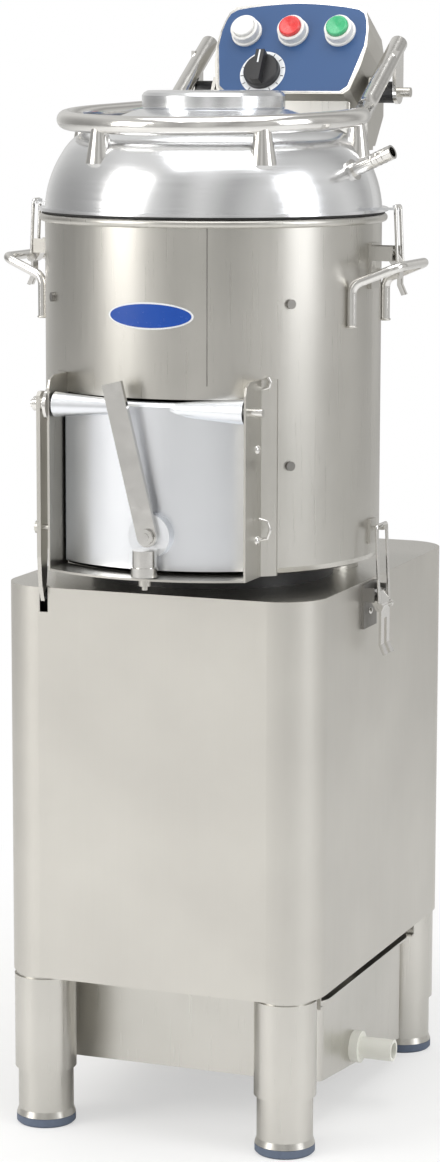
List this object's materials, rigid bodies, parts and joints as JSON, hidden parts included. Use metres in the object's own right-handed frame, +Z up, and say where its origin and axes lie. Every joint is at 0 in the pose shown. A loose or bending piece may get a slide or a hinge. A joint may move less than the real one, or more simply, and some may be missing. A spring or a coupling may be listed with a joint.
{
  "type": "electric potato peeler",
  "caption": "Floor-standing peeling machine: abrasive drum with hinged lid and chute door on a square cabinet with legs, a waste tray and a push-button panel.",
  "frame": {"origin": "on the floor under the axis of the drum", "axes": "+Z up along the drum axis, +Y from the chute towards the column, +X to the right seen from the chute"},
  "size_m": [0.421, 0.4987, 1.1079],
  "materials": {
    "stainless": "satin brushed",
    "polished_steel": "bright polished",
    "bearing_steel": "ground",
    "polished_aluminium": "spun and polished",
    "cast_alloy": "cast, fine grained",
    "black_plastic": "moulded, low sheen",
    "white_plastic": "moulded",
    "red_plastic": "moulded",
    "green_plastic": "moulded",
    "foot_plastic": "moulded, grainy",
    "motor_paint": "satin paint",
    "belt_rubber": "matt",
    "seal_rubber": "matt",
    "abrasive_grit": "bonded abrasive, very rough"
  },
  "bodies": {
    "stand": {"cabinet_shell": "stainless", "rear_panel": "stainless", "top_deck": "stainless", "leg_tubes": "stainless", "tray_rails": "stainless", "cable_gland": "black_plastic", "interlock_switch": "black_plastic", "column": "stainless", "panel_housing": "stainless", "clamp_hooks": "stainless", "button_housings": "white_plastic", "timer_body": "black_plastic", "hinge_brackets": "stainless", "bearing_housing": "cast_alloy", "shaft_bearings": "bearing_steel", "motor": "motor_paint", "motor_plate": "stainless", "drive_belt": "belt_rubber", "peel_outlet": "stainless", "drum_shell": "stainless", "abrasive_liner": "abrasive_grit", "liner_bolts": "polished_steel", "chute_frame": "stainless", "carry_handles": "polished_steel", "lid_latch_bases": "stainless", "base_clamp_bases": "stainless"},
    "spindle": {"drive_shaft": "polished_steel", "abrasive_disc": "abrasive_grit", "disc_nut": "polished_steel", "driven_pulley": "cast_alloy"},
    "motor_rotor": {"motor_pulley": "cast_alloy"},
    "lid": {"lid_dome": "polished_aluminium", "lid_cap": "polished_aluminium", "lid_gasket": "seal_rubber", "lid_lever": "polished_steel", "hinge_bushes": "black_plastic", "water_inlet": "polished_steel"},
    "door": {"chute_door": "cast_alloy", "door_shaft": "polished_steel", "interlock_bar": "stainless", "latch_barrel": "polished_steel"},
    "door_lock": {"door_lever": "stainless"},
    "lid_toggle_right": {"lid_latch_lever_right": "polished_steel"},
    "lid_toggle_left": {"lid_latch_lever_left": "polished_steel"},
    "lid_hoop_right": {"lid_latch_bail_right": "polished_steel"},
    "lid_hoop_left": {"lid_latch_bail_left": "polished_steel"},
    "clamp_toggle_right": {"base_clamp_lever_right": "polished_steel"},
    "clamp_toggle_left": {"base_clamp_lever_left": "polished_steel"},
    "clamp_hoop_right": {"base_clamp_bail_right": "polished_steel"},
    "clamp_hoop_left": {"base_clamp_bail_left": "polished_steel"},
    "start_white": {"white_button": "white_plastic"},
    "stop_red": {"red_button": "red_plastic"},
    "start_green": {"green_button": "green_plastic"},
    "timer": {"timer_knob": "black_plastic"},
    "tray": {"waste_tray": "stainless", "drain_fitting": "white_plastic"},
    "foot_1": {"foot_front_left": "foot_plastic"},
    "foot_2": {"foot_front_right": "foot_plastic"},
    "foot_3": {"foot_rear_left": "foot_plastic"},
    "foot_4": {"foot_rear_right": "foot_plastic"}
  },
  "joints": [
    {"name": "spindle_spin", "type": "hinge", "parent": "stand", "child": "spindle", "pos_m": [0, 0, 0.59], "axis": [0, 0, 1], "continuous": true},
    {"name": "motor_spin", "type": "hinge", "parent": "stand", "child": "motor_rotor", "pos_m": [0, 0.186, 0.438], "axis": [0, 0, 1], "continuous": true},
    {"name": "lid_hinge", "type": "hinge", "parent": "stand", "child": "lid", "pos_m": [0, 0.235, 1.015], "axis": [-1, 0, 0], "range_deg": [0, 75]},
    {"name": "door_hinge", "type": "hinge", "parent": "stand", "child": "door", "pos_m": [0, -0.163, 0.723], "axis": [-1, 0, 0], "range_deg": [0, 30]},
    {"name": "door_lever_turn", "type": "hinge", "parent": "door", "child": "door_lock", "pos_m": [0.006, -0.1838, 0.604], "axis": [0, 1, 0], "range_deg": [0, 45]},
    {"name": "lid_latch_right", "type": "hinge", "parent": "stand", "child": "lid_toggle_right", "pos_m": [0.1857, 0, 0.864], "axis": [0, -1, 0], "range_deg": [0, 26]},
    {"name": "lid_bail_right", "type": "hinge", "parent": "lid_toggle_right", "child": "lid_hoop_right", "pos_m": [0.1927, 0, 0.852], "axis": [0, -1, 0], "range_deg": [-24, 0]},
    {"name": "base_clamp_right", "type": "hinge", "parent": "stand", "child": "clamp_toggle_right", "pos_m": [0.173, 0, 0.533], "axis": [0, -1, 0], "range_deg": [0, 90]},
    {"name": "clamp_bail_right", "type": "hinge", "parent": "clamp_toggle_right", "child": "clamp_hoop_right", "pos_m": [0.18, 0, 0.521], "axis": [0, -1, 0], "range_deg": [-80, 0]},
    {"name": "lid_latch_left", "type": "hinge", "parent": "stand", "child": "lid_toggle_left", "pos_m": [-0.1857, 0, 0.864], "axis": [0, 1, 0], "range_deg": [0, 26]},
    {"name": "lid_bail_left", "type": "hinge", "parent": "lid_toggle_left", "child": "lid_hoop_left", "pos_m": [-0.1927, 0, 0.852], "axis": [0, 1, 0], "range_deg": [-24, 0]},
    {"name": "base_clamp_left", "type": "hinge", "parent": "stand", "child": "clamp_toggle_left", "pos_m": [-0.173, 0, 0.533], "axis": [0, 1, 0], "range_deg": [0, 90]},
    {"name": "clamp_bail_left", "type": "hinge", "parent": "clamp_toggle_left", "child": "clamp_hoop_left", "pos_m": [-0.18, 0, 0.521], "axis": [0, 1, 0], "range_deg": [-80, 0]},
    {"name": "white_press", "type": "slide", "parent": "stand", "child": "start_white", "axis": [0, 0.866, -0.5], "range_m": [0, 0.004], "stiffness_N_per_m": 500, "springref_m": -0.002},
    {"name": "red_press", "type": "slide", "parent": "stand", "child": "stop_red", "axis": [0, 0.866, -0.5], "range_m": [0, 0.004], "stiffness_N_per_m": 500, "springref_m": -0.002},
    {"name": "green_press", "type": "slide", "parent": "stand", "child": "start_green", "axis": [0, 0.866, -0.5], "range_m": [0, 0.004], "stiffness_N_per_m": 500, "springref_m": -0.002},
    {"name": "timer_turn", "type": "hinge", "parent": "stand", "child": "timer", "pos_m": [-0.025, 0.202, 1.03428], "axis": [0, 0.866, -0.5], "range_deg": [0, 300]},
    {"name": "tray_slide", "type": "slide", "parent": "stand", "child": "tray", "axis": [1, 0, 0], "range_m": [0, 0.28]},
    {"name": "foot_1_screw", "type": "slide", "parent": "stand", "child": "foot_1", "axis": [0, 0, -1], "range_m": [0, 0.03]},
    {"name": "foot_2_screw", "type": "slide", "parent": "stand", "child": "foot_2", "axis": [0, 0, -1], "range_m": [0, 0.03]},
    {"name": "foot_3_screw", "type": "slide", "parent": "stand", "child": "foot_3", "axis": [0, 0, -1], "range_m": [0, 0.03]},
    {"name": "foot_4_screw", "type": "slide", "parent": "stand", "child": "foot_4", "axis": [0, 0, -1], "range_m": [0, 0.03]}
  ],
  "couplings": [
    {"joint": "motor_spin", "follows": "spindle_spin", "ratio": 3.35},
    {"joint": "lid_bail_right", "follows": "lid_latch_right", "ratio": -0.9},
    {"joint": "clamp_bail_right", "follows": "base_clamp_right", "ratio": -0.885},
    {"joint": "lid_bail_left", "follows": "lid_latch_left", "ratio": -0.9},
    {"joint": "clamp_bail_left", "follows": "base_clamp_left", "ratio": -0.885}
  ]
}
